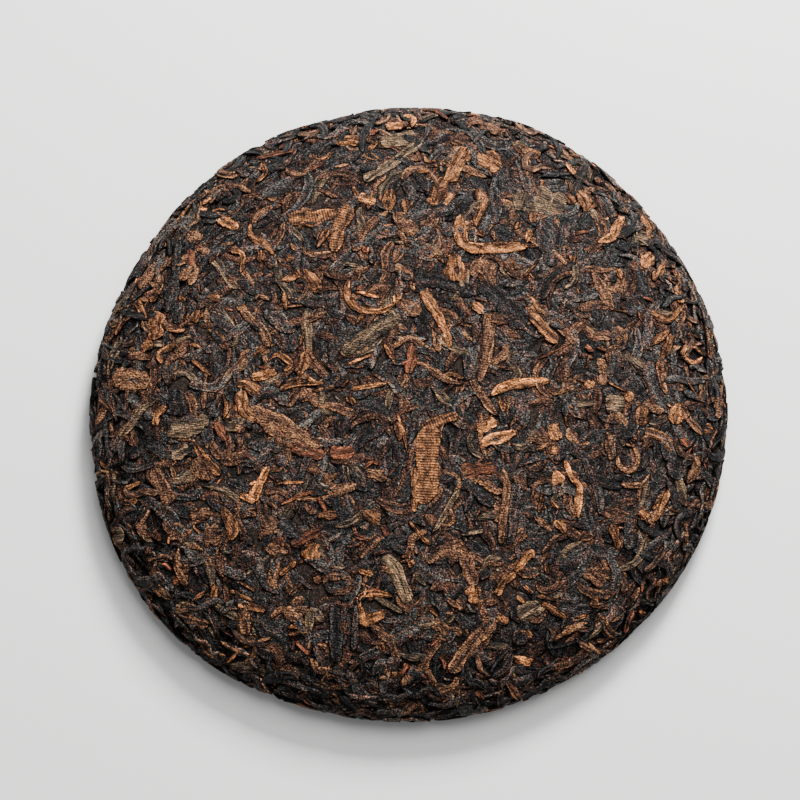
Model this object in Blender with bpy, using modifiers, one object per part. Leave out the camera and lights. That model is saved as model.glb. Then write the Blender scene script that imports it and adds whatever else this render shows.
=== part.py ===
"""A cake of ripe pu-erh tea, lying on its back with the domed face up.

Whole leaves were steamed soft, tied in a cloth and pressed into a low domed
disc with a flat back. The knot of the cloth left a hollow in the middle of the
back. The cake is one fused body: a turned core with a thin crust of pressed
leaves standing out of it. Metres, +Z towards the domed face, origin under the
middle of the cake on the surface it lies on.
"""

import bisect
import math
import random

import bmesh
import bpy
from mathutils import Vector

MM = 0.001

# Driving dimensions of the pressed cake
RIM_RADIUS = 100 * MM
CENTRE_HEIGHT = 23 * MM
WIDEST_HEIGHT = 7 * MM
FLAT_BACK_RADIUS = 90 * MM
KNOT_RADIUS = 27 * MM
KNOT_DEPTH = 7 * MM
DOME_FLATNESS = 2.6
SHOULDER_ROUNDNESS = 1.8

# Uneven outline: bearing and half width in degrees, growth of the radius
RIM_BULGES = ((222, 26, 2.9 * MM), (67, 14, 1.3 * MM), (150, 18, -1.3 * MM), (30, 12, -0.8 * MM))
BOX_MIDDLE = Vector((-0.05, -0.1)) * MM
DOME_WAVE = 0.012
DOME_WAVELENGTH = 62 * MM

# The core, and how far the leaves stand out of it and root in it
CORE_SIDES = 56
CORE_RING_ANGLE = 9
KNOT_RINGS = 5
FACE_RELIEF = 1.0 * MM
BACK_RELIEF = 0.6 * MM
ROOT_DEPTH = 1.4 * MM

# A leaf's ends are narrower by the first share, and its top is the second share as wide as its root
LEAF_END = 0.45
LEAF_TOP = 0.72

# Broad leaves of the face: width, then the points along the middle, millimetres
FACE_LEAVES = (
    (3.6, (16.5, 59), (17, 50.5), (21.5, 47.5), (37.5, 48.5)),
    (4.8, (19, 83), (13.5, 74), (8, 63.5)),
    (3.6, (3.5, 33), (9.5, 24.5), (13, 14.5)),
    (6.2, (14.5, 45.5), (14.5, 36.5)),
    (4.6, (2, 37), (11, 36), (20, 32)),
    (6.2, (5.5, -11), (5.5, -23), (5, -35)),
    (4.4, (24, 26), (25, 15), (22, 3)),
    (2.8, (25.5, -1), (32, 3), (44, 4)),
    (4.6, (-3, 25.5), (-12, 19), (-20, 12.5)),
    (2.6, (-18.5, 37.5), (-18.5, 30), (-12, 26), (-4, 29)),
    (4.5, (-37, 31), (-22.5, 29.5)),
    (5.0, (-19.5, 63), (-22, 55.5), (-23.5, 46.5)),
    (4.6, (-23, 60.7), (-38, 57.5)),
    (4.0, (4, 85), (-14, 71)),
    (5.5, (-79.5, 29), (-79.5, 19)),
    (2.6, (-86, 41), (-87, 35), (-82.5, 26)),
    (7.0, (-93, 6.5), (-81, 6)),
    (5.0, (-53, 3.5), (-47, -8)),
    (3.6, (-45, -11), (-25.5, -20)),
    (2.8, (-66.5, -15), (-58, -25.5)),
    (3.8, (-79, -23), (-74.5, -34.5)),
    (3.8, (-57.5, -35.5), (-55.5, -40), (-55, -46)),
    (2.4, (48, -21), (52, -28.5), (52, -39.5)),
    (4.8, (11, -21), (17, -28), (26, -36)),
    (4.4, (16, -50.5), (18.5, -57), (20, -66)),
    (2.4, (38.5, -50), (32.5, -56.5), (27, -63.5)),
    (2.6, (-5, -64), (-15.5, -64), (-14, -72), (-7.5, -69)),
    (4.2, (-22.5, -66), (-22, -83.5)),
    (4.8, (26, -71), (19, -78), (12.5, -86.5)),
    (5.4, (40, -66), (33.5, -70)),
    (4.0, (53, 70), (57, 61.5)),
    (2.8, (76, 28), (81.5, 26), (86.5, 31.5)),
    (4.2, (83.5, -1), (83, -9)),
    (2.4, (81, -28.5), (76.5, -38.5)),
)

# The other leaves, spread by rule: how many, their sizes, and their tops against the pressed surface
FACE_FILL = 56
RIM_FILL = 22
BACK_FILL = 26
FACE_FILL_REACH = 90 * MM
BACK_FILL_REACH = 83 * MM
FILL_LENGTH = (10 * MM, 20 * MM)
FILL_WIDTH = (3.2 * MM, 6.0 * MM)
FILL_BOW = 0.3
BROAD_LIFT = (-0.15 * MM, 0.1 * MM)
FACE_LIFT = (-0.4 * MM, 0.0 * MM)
BACK_LIFT = (0.1 * MM, 0.4 * MM)
ALONG_RIM_FROM = 72 * MM
ALONG_RIM_TO = 92 * MM
RIM_ROW_PITCH = 4 * MM
GOLDEN_ANGLE = math.pi * (3 - math.sqrt(5))
SEED = 357

# Three broad leaves of the back carry the cake
REST_LEAVES = 3
REST_REACH = 55 * MM
REST_LENGTH = 26 * MM
REST_WIDTH = 9 * MM
REST_LIFT = 0.5 * MM

GOLDEN_ANGLE = math.pi * (3 - math.sqrt(5))
SEED = 357


def section(turn):
    """Radius and height of the outer section, from the top (0) round the rim to the back (pi)."""
    radius = RIM_RADIUS * math.sin(turn)
    if turn <= math.pi / 2:
        drop = max(1 - (radius / RIM_RADIUS) ** DOME_FLATNESS, 0)
        rise = CENTRE_HEIGHT - WIDEST_HEIGHT
        return radius, WIDEST_HEIGHT + rise * drop ** (1 / SHOULDER_ROUNDNESS)
    edge = max(radius - FLAT_BACK_RADIUS, 0) / (RIM_RADIUS - FLAT_BACK_RADIUS)
    height = WIDEST_HEIGHT * (1 - math.sqrt(max(1 - edge * edge, 0)))
    if radius < KNOT_RADIUS:
        height += KNOT_DEPTH * (1 - (radius / KNOT_RADIUS) ** 2) ** 2
    return radius, height


SECTION_STEPS = 900
TRACK = [section(math.pi * step / SECTION_STEPS) for step in range(SECTION_STEPS + 1)]
DISTANCES = [0.0]
for (near_r, near_z), (far_r, far_z) in zip(TRACK, TRACK[1:]):
    DISTANCES.append(DISTANCES[-1] + math.hypot(far_r - near_r, far_z - near_z))


def on_section(distance, lift):
    """Radius and height at a distance along the section, lifted off it along its normal."""
    step = min(max(bisect.bisect(DISTANCES, distance), 1), SECTION_STEPS)
    (near_r, near_z), (far_r, far_z) = TRACK[step - 1], TRACK[step]
    length = DISTANCES[step] - DISTANCES[step - 1]
    part = (distance - DISTANCES[step - 1]) / length
    out_r, out_z = (near_z - far_z) / length, (far_r - near_r) / length
    radius = near_r + (far_r - near_r) * part + out_r * lift
    return radius, near_z + (far_z - near_z) * part + out_z * lift


def spread(x, y):
    """How much further from the axis than on a round cake a place lies, mostly at the rim."""
    bearing = math.degrees(math.atan2(y, x))
    growth = 0.0
    for middle, half_width, bulge in RIM_BULGES:
        off = (bearing - middle + 180) % 360 - 180
        growth += bulge * math.exp(-(off / half_width) ** 2)
    return 1 + growth * math.hypot(x, y) ** 3 / RIM_RADIUS ** 4


def uneven(point):
    """The hand-pressed form: bulges of the outline and slow waves of the dome."""
    wider = spread(point.x, point.y)
    wave = math.sin(point.x / DOME_WAVELENGTH * math.tau + 1) * math.cos(point.y / DOME_WAVELENGTH * math.tau)
    seen = Vector((point.x, point.y)) * wider - BOX_MIDDLE
    return Vector((seen.x, seen.y, point.z * (1 + DOME_WAVE * wave)))


def on_cake(spot, lift, back=False):
    """The place of a spot of the flattened crust, measured from the middle of the face or the back."""
    bearing = math.atan2(spot.y, spot.x)
    distance = DISTANCES[-1] - spot.length if back else spot.length
    radius, height = on_section(distance, lift)
    return uneven(Vector((radius * math.cos(bearing), radius * math.sin(bearing), height)))


def face_spot(x, y):
    """The flattened crust's spot for a place seen from straight above, in millimetres."""
    seen = Vector((x, y)) * MM
    seen /= spread(seen.x, seen.y)
    turn = math.asin(min(seen.length / RIM_RADIUS, 1))
    distance = DISTANCES[round(turn / math.pi * SECTION_STEPS)]
    return seen.normalized() * distance


def along_route(points, part):
    """Place and heading at a part of the way along a smooth curve through the points."""
    spans = len(points) - 1
    span = min(int(part * spans), spans - 1)
    t = part * spans - span
    before, start = points[max(span - 1, 0)], points[span]
    end, after = points[span + 1], points[min(span + 2, spans)]
    leave, arrive = (end - before) / 2, (after - start) / 2
    place = (start * (2 * t ** 3 - 3 * t ** 2 + 1) + leave * (t ** 3 - 2 * t ** 2 + t)
             + end * (3 * t ** 2 - 2 * t ** 3) + arrive * (t ** 3 - t ** 2))
    heading = (start * (6 * t ** 2 - 6 * t) + leave * (3 * t ** 2 - 4 * t + 1)
               + end * (6 * t - 6 * t ** 2) + arrive * (3 * t ** 2 - 2 * t))
    return place, heading.normalized()


def add_leaf(crust, spots, width, lift, relief, back=False):
    """A pressed leaf: a flat bar along its route, narrower at its ends and on top, rooted in the core."""
    leaf = bmesh.new()
    bmesh.ops.create_cube(leaf, size=1)
    lengthwise = [edge for edge in leaf.edges if abs(edge.verts[0].co.x - edge.verts[1].co.x) > 0.5]
    bmesh.ops.subdivide_edges(leaf, edges=lengthwise, cuts=len(spots), use_grid_fill=True)
    for vert in leaf.verts:
        place, heading = along_route(spots, vert.co.x + 0.5)
        ends = abs(2 * vert.co.x) ** 3
        half_width = width / 2 * (1 - LEAF_END * ends)
        height = lift if vert.co.z > 0 else -relief - ROOT_DEPTH
        if vert.co.z > 0:
            half_width *= LEAF_TOP
        across = Vector((-heading.y, heading.x)) * (2 * vert.co.y * half_width)
        vert.co = on_cake(place + across, height, back)
    leaf.normal_update()
    bmesh.ops.recalc_face_normals(leaf, faces=leaf.faces)
    mesh = bpy.data.meshes.new("leaf")
    leaf.to_mesh(mesh)
    leaf.free()
    crust.objects.link(bpy.data.objects.new("leaf", mesh))


def fill_leaf(crust, draw, distance, bearing, lifts, relief, back=False):
    """A leaf of the crust where the rule puts it, turned along the rim near the edge."""
    middle = Vector((math.cos(bearing), math.sin(bearing))) * distance
    near_rim = (distance - ALONG_RIM_FROM) / (ALONG_RIM_TO - ALONG_RIM_FROM)
    freedom = 1 - 0.75 * min(max(near_rim, 0), 1)
    heading = bearing + math.pi / 2 * (1 + draw.uniform(-1, 1) * freedom)
    half = Vector((math.cos(heading), math.sin(heading))) * draw.uniform(*FILL_LENGTH) / 2
    bow = Vector((-half.y, half.x)) * draw.uniform(-FILL_BOW, FILL_BOW)
    width = draw.uniform(*FILL_WIDTH)
    add_leaf(crust, [middle - half, middle + bow, middle + half], width, draw.uniform(*lifts), relief, back)


def make_core():
    """The turned core under the crust, as a profile with a Screw modifier."""
    knot_turn = math.pi - math.asin(KNOT_RADIUS / RIM_RADIUS)
    turns = [math.radians(angle) for angle in range(0, 180, CORE_RING_ANGLE)]
    turns = [turn for turn in turns if turn < knot_turn]
    for ring in range(KNOT_RINGS + 1):
        turns.append(math.pi - math.asin((1 - ring / KNOT_RINGS) * KNOT_RADIUS / RIM_RADIUS))
    profile = bmesh.new()
    last = None
    for turn in turns:
        relief = FACE_RELIEF if turn < math.pi / 2 else BACK_RELIEF
        distance = DISTANCES[round(turn / math.pi * SECTION_STEPS)]
        radius, height = on_section(distance, -relief)
        if turn in (turns[0], turns[-1]):
            radius = 0
        vert = profile.verts.new((radius, 0, height))
        if last:
            profile.edges.new((last, vert))
        last = vert
    mesh = bpy.data.meshes.new("core_profile")
    profile.to_mesh(mesh)
    profile.free()
    turned = bpy.data.objects.new("core_profile", mesh)
    bpy.context.scene.collection.objects.link(turned)
    screw = turned.modifiers.new("Turn", 'SCREW')
    screw.steps = screw.render_steps = CORE_SIDES
    screw.use_merge_vertices = True
    screw.merge_threshold = 0.00001
    screw.use_normal_calculate = True
    shaped = bpy.data.meshes.new_from_object(turned.evaluated_get(bpy.context.evaluated_depsgraph_get()))
    bpy.data.objects.remove(turned)
    for vert in shaped.vertices:
        vert.co = uneven(vert.co)
    return bpy.data.objects.new("tea_cake", shaped)


def make_crust(crust):
    """The leaves: the broad ones of the face by hand, the others spread by the golden angle."""
    draw = random.Random(SEED)
    for index in range(RIM_FILL):
        distance = DISTANCES[SECTION_STEPS // 2] + (index % 3 - 1) * RIM_ROW_PITCH
        fill_leaf(crust, draw, distance, index / RIM_FILL * math.tau, FACE_LIFT, FACE_RELIEF)
    for width, *points in FACE_LEAVES:
        spots = [face_spot(x, y) for x, y in points]
        add_leaf(crust, spots, width * MM, draw.uniform(*BROAD_LIFT), FACE_RELIEF)
    for index in range(FACE_FILL):
        distance = FACE_FILL_REACH * math.sqrt((index + 0.5) / FACE_FILL)
        fill_leaf(crust, draw, distance, index * GOLDEN_ANGLE, FACE_LIFT, FACE_RELIEF)
    for index in range(BACK_FILL):
        distance = BACK_FILL_REACH * math.sqrt((index + 0.5) / BACK_FILL)
        fill_leaf(crust, draw, distance, index * GOLDEN_ANGLE, BACK_LIFT, BACK_RELIEF, back=True)
    for index in range(REST_LEAVES):
        bearing = index / REST_LEAVES * math.tau - math.pi / 2
        middle = Vector((math.cos(bearing), math.sin(bearing))) * REST_REACH
        half = Vector((-math.sin(bearing), math.cos(bearing))) * REST_LENGTH / 2
        add_leaf(crust, [middle - half, middle + half], REST_WIDTH, REST_LIFT, BACK_RELIEF, back=True)


def fuse(cake, crust):
    """The core and its leaves as one solid, with the leaves' own objects removed."""
    union = cake.modifiers.new("Fuse", 'BOOLEAN')
    union.operation = 'UNION'
    union.operand_type = 'COLLECTION'
    union.collection = crust
    fused = bpy.data.meshes.new_from_object(cake.evaluated_get(bpy.context.evaluated_depsgraph_get()))
    cake.modifiers.remove(union)
    cake.data = fused
    for leaf in list(crust.objects):
        bpy.data.objects.remove(leaf)
    bpy.data.collections.remove(crust)


def press_flat(cake, cutters):
    """A flat back: what stands out below the surface the cake lies on is cut away."""
    below = bmesh.new()
    bmesh.ops.create_cube(below, size=1)
    bmesh.ops.scale(below, vec=(3 * RIM_RADIUS, 3 * RIM_RADIUS, WIDEST_HEIGHT), verts=below.verts)
    bmesh.ops.translate(below, vec=(0, 0, -WIDEST_HEIGHT / 2), verts=below.verts)
    mesh = bpy.data.meshes.new("press_plate")
    below.to_mesh(mesh)
    below.free()
    plate = bpy.data.objects.new("press_plate", mesh)
    plate.hide_render = True
    plate.display_type = 'WIRE'
    cutters.objects.link(plate)
    cut = cake.modifiers.new("Flat back", 'BOOLEAN')
    cut.operation = 'DIFFERENCE'
    cut.object = plate
    cut.solver = 'MANIFOLD'


def pressed_tea():
    """Dark, faintly sheened leaf."""
    material = bpy.data.materials.new("pressed_tea")
    material.use_nodes = True
    shader = material.node_tree.nodes["Principled BSDF"]
    shader.inputs["Base Color"].default_value = (0.062, 0.042, 0.033, 1)
    shader.inputs["Roughness"].default_value = 0.6
    shader.inputs["Metallic"].default_value = 0
    return material


def main():
    for thing in list(bpy.data.objects):
        bpy.data.objects.remove(thing)
    collections = {}
    for name in ("Tea cake", "Leaves", "Cutters"):
        collections[name] = bpy.data.collections.new(name)
        bpy.context.scene.collection.children.link(collections[name])
    cake = make_core()
    collections["Tea cake"].objects.link(cake)
    make_crust(collections["Leaves"])
    fuse(cake, collections["Leaves"])
    press_flat(cake, collections["Cutters"])
    cake.data.materials.clear()
    cake.data.materials.append(pressed_tea())
    cake.data.shade_smooth()
    cake.data.set_sharp_from_angle(angle=math.radians(30))


main()
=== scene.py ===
"""A cake of ripe pu-erh tea, lying on its back with the domed face up.

Whole leaves, buds and stems were steamed soft, tied in a cloth and pressed into
a low domed disc. The leaf has dried nearly black, with tan buds and red-brown
stems among it. Metres, +Z towards the domed face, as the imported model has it.
"""

import math

import bmesh
import bpy
import numpy as np
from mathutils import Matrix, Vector, noise


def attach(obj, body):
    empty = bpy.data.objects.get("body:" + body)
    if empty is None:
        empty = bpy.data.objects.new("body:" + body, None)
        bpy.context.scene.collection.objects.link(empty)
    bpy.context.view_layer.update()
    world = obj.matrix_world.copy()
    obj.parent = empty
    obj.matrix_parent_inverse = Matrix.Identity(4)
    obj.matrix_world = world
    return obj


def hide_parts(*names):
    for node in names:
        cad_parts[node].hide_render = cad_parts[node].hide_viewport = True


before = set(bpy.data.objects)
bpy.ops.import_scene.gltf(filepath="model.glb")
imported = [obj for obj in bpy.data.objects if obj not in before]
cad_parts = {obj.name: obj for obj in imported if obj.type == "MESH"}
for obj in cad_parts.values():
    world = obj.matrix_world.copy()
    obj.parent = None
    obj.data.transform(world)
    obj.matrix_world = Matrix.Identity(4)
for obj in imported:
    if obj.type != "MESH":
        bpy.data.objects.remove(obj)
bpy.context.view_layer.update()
PIECES = bpy.data.collections.new("Tea cake pieces")
bpy.context.scene.collection.children.link(PIECES)

# The pressed body under the whole leaves: broken leaf and dust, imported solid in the
# cloth. It is turned from the cake's own section, and shows only as black cracks.

MM = 0.001
RIM_RADIUS = 100 * MM
CENTRE_HEIGHT = 23 * MM
WIDEST_HEIGHT = 7 * MM
FLAT_BACK_RADIUS = 90 * MM
KNOT_RADIUS = 27 * MM
KNOT_DEPTH = 7 * MM
DOME_FLATNESS = 2.6
SHOULDER_ROUNDNESS = 1.8
RIM_BULGES = ((222, 26, 2.9 * MM), (67, 14, 1.3 * MM), (150, 18, -1.3 * MM), (30, 12, -0.8 * MM))
BOX_MIDDLE = np.array((-0.05, -0.1)) * MM
DOME_WAVE = 0.012
DOME_WAVELENGTH = 62 * MM
SECTION_STEPS = 900


def section(turn):
    """Radius and height of the outer section, from the top (0) round the rim to the back (pi)."""
    radius = RIM_RADIUS * np.sin(turn)
    dome = np.maximum(1 - (radius / RIM_RADIUS) ** DOME_FLATNESS, 0) ** (1 / SHOULDER_ROUNDNESS)
    face = WIDEST_HEIGHT + (CENTRE_HEIGHT - WIDEST_HEIGHT) * dome
    edge = np.maximum(radius - FLAT_BACK_RADIUS, 0) / (RIM_RADIUS - FLAT_BACK_RADIUS)
    back = WIDEST_HEIGHT * (1 - np.sqrt(np.maximum(1 - edge ** 2, 0)))
    knot = KNOT_DEPTH * np.maximum(1 - (radius / KNOT_RADIUS) ** 2, 0) ** 2
    return radius, np.where(turn <= math.pi / 2, face, back + knot)


turns = np.linspace(0, math.pi, SECTION_STEPS + 1)
track_r, track_z = section(turns)
track_s = np.concatenate(([0], np.cumsum(np.hypot(np.diff(track_r), np.diff(track_z)))))
normal_r = -np.gradient(track_z, track_s)
normal_z = np.gradient(track_r, track_s)


def spread(x, y):
    """How much further from the axis than on a round cake a place lies, mostly at the rim."""
    bearing = np.degrees(np.arctan2(y, x))
    growth = 0.0
    for middle, half_width, bulge in RIM_BULGES:
        off = (bearing - middle + 180) % 360 - 180
        growth = growth + bulge * np.exp(-(off / half_width) ** 2)
    return 1 + growth * np.hypot(x, y) ** 3 / RIM_RADIUS ** 4


PLEATS = 13
PLEAT_DEPTH = 2 * MM
PLEAT_UNEVENNESS = 1.1
PLEAT_TWIST = 30
PLEATS_START = 7 * MM
PLEATS_END = 37 * MM
PLEATS_FADE = 16 * MM
GROUND_GAP = 0.02 * MM


def pleats(x, y):
    """How far the gathered cloth's folds pressed into the hollow round its knot."""
    bearing = np.arctan2(y, x)
    radius = np.hypot(x, y)
    turn = PLEATS / 2 * bearing + PLEAT_UNEVENNESS * np.sin(2 * bearing) + radius * PLEAT_TWIST
    fold = np.abs(np.sin(turn))
    reach = np.clip(radius / PLEATS_START, 0, 1) * np.clip((PLEATS_END - radius) / PLEATS_FADE, 0, 1)
    return PLEAT_DEPTH * (1 - fold) ** 2 * reach


def on_cake(spots, lift, back=False):
    """Places on the cake for spots of its flattened skin, lifted along the skin's normal."""
    distance = np.hypot(spots[..., 0], spots[..., 1])
    way = spots / np.maximum(distance, 1e-9)[..., None]
    along = track_s[-1] - distance if back else distance
    radius = np.interp(along, track_s, track_r) + np.interp(along, track_s, normal_r) * lift
    height = np.interp(along, track_s, track_z) + np.interp(along, track_s, normal_z) * lift
    x, y = radius * way[..., 0], radius * way[..., 1]
    if back:
        height = height + pleats(x, y)
    wave = np.sin(x / DOME_WAVELENGTH * math.tau + 1) * np.cos(y / DOME_WAVELENGTH * math.tau)
    wider = spread(x, y)
    height = np.maximum(height * (1 + DOME_WAVE * wave), GROUND_GAP)
    return np.stack((x * wider - BOX_MIDDLE[0], y * wider - BOX_MIDDLE[1], height), -1)


def finish_piece(piece, material):
    """Links a piece of the cake, gives it its finish and lets it stand for the plain solid."""
    PIECES.objects.link(piece)
    piece.data.materials.append(material)
    piece.data.shade_smooth()
    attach(piece, "root")
    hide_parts("tea_cake")


CORE_DEPTH = 0.75 * MM
RIM_CORE_DEPTH = 1.3 * MM
RIM_CORE_SPAN = (70 * MM, 95 * MM, 125 * MM, 140 * MM)
CORE_RINGS = 74
CORE_SIDES = 230
CRUMB_SIZE = 1.4 * MM
CRUMB_RELIEF = 0.35 * MM
CRUMB_RISE = 0.6
CORE_PLEATS_RADIUS = 40 * MM

profile = bmesh.new()
last = None
for ring in range(CORE_RINGS + 1):
    at = track_s[-1] * ring / CORE_RINGS
    pole = ring in (0, CORE_RINGS)
    depth = -np.interp(at, RIM_CORE_SPAN, (CORE_DEPTH, RIM_CORE_DEPTH, RIM_CORE_DEPTH, CORE_DEPTH))
    radius = 0 if pole else np.interp(at, track_s, track_r) + np.interp(at, track_s, normal_r) * depth
    height = np.interp(at, track_s, track_z) + np.interp(at, track_s, normal_z) * depth
    vert = profile.verts.new((radius, 0, height))
    if last:
        profile.edges.new((last, vert))
    last = vert
bmesh.ops.spin(profile, geom=profile.verts[:] + profile.edges[:], axis=(0, 0, 1), cent=(0, 0, 0),
               angle=math.tau, steps=CORE_SIDES, use_merge=True)
bmesh.ops.remove_doubles(profile, verts=profile.verts, dist=0.00001)
for vert in profile.verts:
    wider = float(spread(vert.co.x, vert.co.y))
    grain = noise.noise(vert.co / CRUMB_SIZE) * CRUMB_RELIEF
    out = Vector((vert.co.x, vert.co.y, 0)).normalized() * min(vert.co.xy.length / RIM_RADIUS, 1) ** 6
    vert.co.x = vert.co.x * wider - BOX_MIDDLE[0] + out.x * grain
    vert.co.y = vert.co.y * wider - BOX_MIDDLE[1] + out.y * grain
    vert.co.z += grain * CRUMB_RISE
    if vert.co.z < WIDEST_HEIGHT and vert.co.xy.length < CORE_PLEATS_RADIUS:
        vert.co.z += float(pleats(vert.co.x, vert.co.y))
bmesh.ops.recalc_face_normals(profile, faces=profile.faces)
core_mesh = bpy.data.meshes.new("pressed_core")
profile.to_mesh(core_mesh)
profile.free()
core = bpy.data.objects.new("pressed_core", core_mesh)


def add(tree, kind, **settings):
    """A shader node with its settings, whose numbered inputs are values or other nodes' outputs."""
    made = tree.nodes.new(kind)
    for key, value in settings.items():
        if not key.startswith("in_"):
            setattr(made, key, value)
        elif isinstance(value, bpy.types.NodeSocket):
            tree.links.new(value, made.inputs[int(key[3:])])
        else:
            made.inputs[int(key[3:])].default_value = value
    return made


def sums(tree, operation, *values):
    """A Math node's result."""
    return add(tree, "ShaderNodeMath", operation=operation,
               **{f"in_{number}": value for number, value in enumerate(values)}).outputs[0]


LIGHT_ON_FACE = 1.07
HIGHLIGHT_GAIN = 0.9
HIGHLIGHT_SHADE = 200


def seen(*shades):
    """The leaf's own colour for a colour as the studio light shows it, 0 to 255."""
    parts = []
    for shade in shades:
        linear = ((shade / 255 + 0.055) / 1.055) ** 2.4 if shade > 10 else shade / 3295
        parts.append(linear * (1 + HIGHLIGHT_GAIN * (shade / HIGHLIGHT_SHADE) ** 6) / LIGHT_ON_FACE)
    return (*parts, 1)


def ramp_of(tree, level, stops):
    """A Color Ramp through colours as seen, each with its place."""
    made = add(tree, "ShaderNodeValToRGB", in_0=level)
    for number, (place, *shades) in enumerate(stops):
        if number > 1:
            made.color_ramp.elements.new(place)
        made.color_ramp.elements[number].position = place
        made.color_ramp.elements[number].color = seen(*shades)
    return made.outputs[0]


DUST_SCALE = 1400
DUST_BLACK = ((0.34, 12, 10, 9), (0.5, 32, 26, 23), (0.68, 76, 60, 49))

packed = bpy.data.materials.new("packed_tea_dust")
packed.use_nodes = True
packed_tree = packed.node_tree
packed_shader = packed_tree.nodes["Principled BSDF"]
packed_places = add(packed_tree, "ShaderNodeTexCoord").outputs["Object"]
packed_grain = add(packed_tree, "ShaderNodeTexNoise", in_0=packed_places, in_2=DUST_SCALE, in_3=4.0,
                   in_4=0.8).outputs[0]
packed_colour = ramp_of(packed_tree, packed_grain, DUST_BLACK)
packed_tree.links.new(packed_colour, packed_shader.inputs["Base Color"])
packed_bump = add(packed_tree, "ShaderNodeBump", in_0=0.7, in_1=0.0004, in_3=packed_grain)
packed_tree.links.new(packed_bump.outputs[0], packed_shader.inputs["Normal"])
packed_shader.inputs["Roughness"].default_value = 0.8
packed_shader.inputs["Specular IOR Level"].default_value = 0.1
finish_piece(core, packed)

# The leaf itself: limp strips of steamed leaf, folded and rolled lengthwise and pressed
# flat against the cloth, whose weave is printed on them. Each has its own tone, streaks and
# creases, with painted shade in the creases and where it lies deeper, a painted highlight
# just inside its rim and a painted shadow of the crack round it. The darker ones have rusty patches.

THREAD_PITCH = 0.77 * MM
THREAD_ANGLE = math.radians(8)
RIBS_PER_MM = math.tau / 0.85
GRAIN_SCALE = 2200
NEAR_BLACK = ((0.0, 10, 10, 10), (0.2, 28, 27, 27), (0.36, 49, 48, 47), (0.5, 74, 70, 67),
              (0.64, 106, 94, 83), (0.78, 141, 116, 93), (0.9, 172, 141, 112), (1.0, 202, 168, 134))
LEAF_BROWN = ((0.0, 13, 9, 8), (0.2, 41, 27, 22), (0.36, 71, 47, 37), (0.5, 97, 68, 51), (0.64, 124, 89, 63),
              (0.78, 152, 112, 74), (0.9, 178, 135, 89), (1.0, 202, 160, 110))
DOWNY_GOLD = ((0.0, 13, 9, 8), (0.2, 42, 28, 21), (0.4, 88, 59, 42), (0.55, 129, 88, 59), (0.7, 160, 113, 71),
              (0.84, 187, 140, 87), (1.0, 214, 172, 114))
RED_BROWN = ((0.0, 14, 9, 8), (0.2, 40, 26, 22), (0.4, 76, 46, 35), (0.6, 120, 73, 50), (0.8, 158, 100, 68),
             (1.0, 196, 136, 98))
OLIVE_GREY = ((0.0, 15, 13, 11), (0.2, 37, 33, 28), (0.4, 75, 61, 49), (0.6, 114, 92, 70),
              (0.8, 152, 126, 95), (1.0, 188, 160, 125))


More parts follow.
